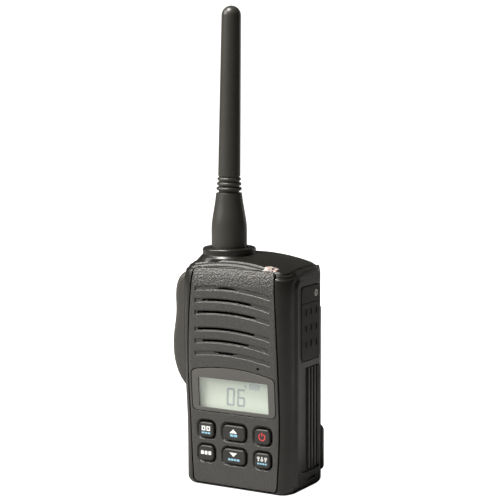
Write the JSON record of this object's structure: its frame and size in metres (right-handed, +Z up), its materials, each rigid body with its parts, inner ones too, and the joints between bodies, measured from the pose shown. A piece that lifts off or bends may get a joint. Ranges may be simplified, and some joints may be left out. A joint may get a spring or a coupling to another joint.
{
  "type": "handheld marine radio",
  "caption": "Rubber-sided handheld marine radio with a whip antenna, display, keypad, side pad, jack cover and slide-off battery with a belt clip.",
  "frame": {"origin": "middle of the body's width on the flat base that the radio stands on", "axes": "+X to the right of the front face, +Y to the back, +Z up along the antenna"},
  "size_m": [0.0679, 0.0503, 0.2305],
  "materials": {
    "housing": "fine matte grain, dark olive black",
    "panel": "fine matte grain, charcoal grey-brown",
    "battery": "fine matte grain, dark olive black",
    "bezel": "satin black",
    "window": "clear, hard coated",
    "lcd": "pale green-grey, glossy",
    "lens": "smoky pink-brown, translucent",
    "key_rubber": "silicone, matte",
    "pad_rubber": "soft touch, matte",
    "cover_rubber": "soft rubber, matte",
    "seal_rubber": "soft rubber, matte",
    "sheath_rubber": "moulded rubber, satin",
    "steel": "brushed",
    "screw_steel": "passivated, satin",
    "brass": "turned",
    "gold": "plated",
    "board": "green solder mask",
    "chip": "moulded epoxy",
    "shield": "tin plated",
    "cloth": "fine black mesh",
    "cone": "paper",
    "magnet": "plated",
    "guide": "clear acrylic",
    "inner_plastic": "moulded",
    "cells": "drawn can in film"
  },
  "bodies": {
    "radio": {"antenna_socket": "brass", "board_connector": "inner_plastic", "board_screws": "screw_steel", "board_spacers": "brass", "case_screws": "screw_steel", "case_seal": "seal_rubber", "control_board": "board", "cover_anchor": "cover_rubber", "cover_screw": "screw_steel", "display_bezel": "bezel", "display_frame": "inner_plastic", "display_window": "window", "dome_switches": "steel", "front_panel": "panel", "grille_cloth": "cloth", "jack_lower": "inner_plastic", "jack_upper": "inner_plastic", "keypad_membrane": "key_rubber", "latch_spring": "steel", "lcd_glass": "lcd", "light_guide": "guide", "main_housing": "housing", "mic_boot": "seal_rubber", "microphone": "steel", "ptt_switch": "inner_plastic", "radio_contacts": "gold", "rear_case": "housing", "rf_board": "board", "rf_chips": "chip", "rf_shield": "shield", "speaker_basket": "steel", "speaker_cone": "cone", "speaker_magnet": "magnet", "status_led": "inner_plastic", "status_lens": "lens", "zebra_connector": "seal_rubber"},
    "pushtotalk": {"ptt_pad": "pad_rubber"},
    "battery": {"battery_case": "battery", "battery_lid": "battery", "battery_contacts": "gold", "battery_cells": "cells", "clip_bracket": "battery", "clip_pin": "steel", "clip_spring": "steel", "clip_screws": "screw_steel"},
    "clip": {"belt_clip": "battery"},
    "latch": {"battery_latch": "battery"},
    "cover": {"jack_cover": "cover_rubber"},
    "antenna_lifted": {"antenna_washer": "seal_rubber"},
    "antenna": {"antenna_sheath": "sheath_rubber", "antenna_stud": "brass", "antenna_coil": "brass", "antenna_rod": "steel"},
    "key_lower_left": {"key_lower_left": "key_rubber"},
    "key_down": {"key_down": "key_rubber"},
    "key_lower_right": {"key_lower_right": "key_rubber"},
    "key_upper_left": {"key_upper_left": "key_rubber"},
    "key_up": {"key_up": "key_rubber"},
    "key_power": {"key_power": "key_rubber"}
  },
  "joints": [
    {"name": "key_lower_left_press", "type": "slide", "parent": "radio", "child": "key_lower_left", "axis": [0, 1, 0], "range_m": [0, 0.0006], "stiffness_N_per_m": 1500, "springref_m": -0.0004},
    {"name": "key_down_press", "type": "slide", "parent": "radio", "child": "key_down", "axis": [0, 1, 0], "range_m": [0, 0.0006], "stiffness_N_per_m": 1500, "springref_m": -0.0004},
    {"name": "key_lower_right_press", "type": "slide", "parent": "radio", "child": "key_lower_right", "axis": [0, 1, 0], "range_m": [0, 0.0006], "stiffness_N_per_m": 1500, "springref_m": -0.0004},
    {"name": "key_upper_left_press", "type": "slide", "parent": "radio", "child": "key_upper_left", "axis": [0, 1, 0], "range_m": [0, 0.0006], "stiffness_N_per_m": 1500, "springref_m": -0.0004},
    {"name": "key_up_press", "type": "slide", "parent": "radio", "child": "key_up", "axis": [0, 1, 0], "range_m": [0, 0.0006], "stiffness_N_per_m": 1500, "springref_m": -0.0004},
    {"name": "key_power_press", "type": "slide", "parent": "radio", "child": "key_power", "axis": [0, 1, 0], "range_m": [0, 0.0006], "stiffness_N_per_m": 1500, "springref_m": -0.0004},
    {"name": "pushtotalk_press", "type": "slide", "parent": "radio", "child": "pushtotalk", "axis": [1, 0, 0], "range_m": [0, 0.0009], "stiffness_N_per_m": 2000, "springref_m": -0.0005},
    {"name": "battery_removal", "type": "slide", "parent": "radio", "child": "battery", "axis": [0, 1, 0], "range_m": [0, 0.03]},
    {"name": "clip_swing", "type": "hinge", "parent": "battery", "child": "clip", "pos_m": [0, 0.0246, 0.068], "axis": [1, 0, 0], "range_deg": [0, 18], "stiffness_Nm_per_rad": 0.4, "springref_deg": -20.05},
    {"name": "latch_lift", "type": "slide", "parent": "radio", "child": "latch", "axis": [0, 0, 1], "range_m": [0, 0.0025], "stiffness_N_per_m": 400, "springref_m": -0.001, "deforming": ["latch_spring"]},
    {"name": "cover_swing", "type": "hinge", "parent": "radio", "child": "cover", "pos_m": [0.0308, 0.00295, 0.091], "axis": [0, -1, 0], "range_deg": [0, 120], "stiffness_Nm_per_rad": 0.001},
    {"name": "antenna_rise", "type": "slide", "parent": "radio", "child": "antenna_lifted", "axis": [0, 0, 1], "range_m": [0, 0.0075]},
    {"name": "antenna_turn", "type": "hinge", "parent": "antenna_lifted", "child": "antenna", "pos_m": [-0.013, 0.001, 0.115], "axis": [0, 0, 1], "range_deg": [0, 2880]}
  ],
  "couplings": [
    {"joint": "antenna_turn", "follows": "antenna_rise", "rad_per_m": 6283.2}
  ]
}
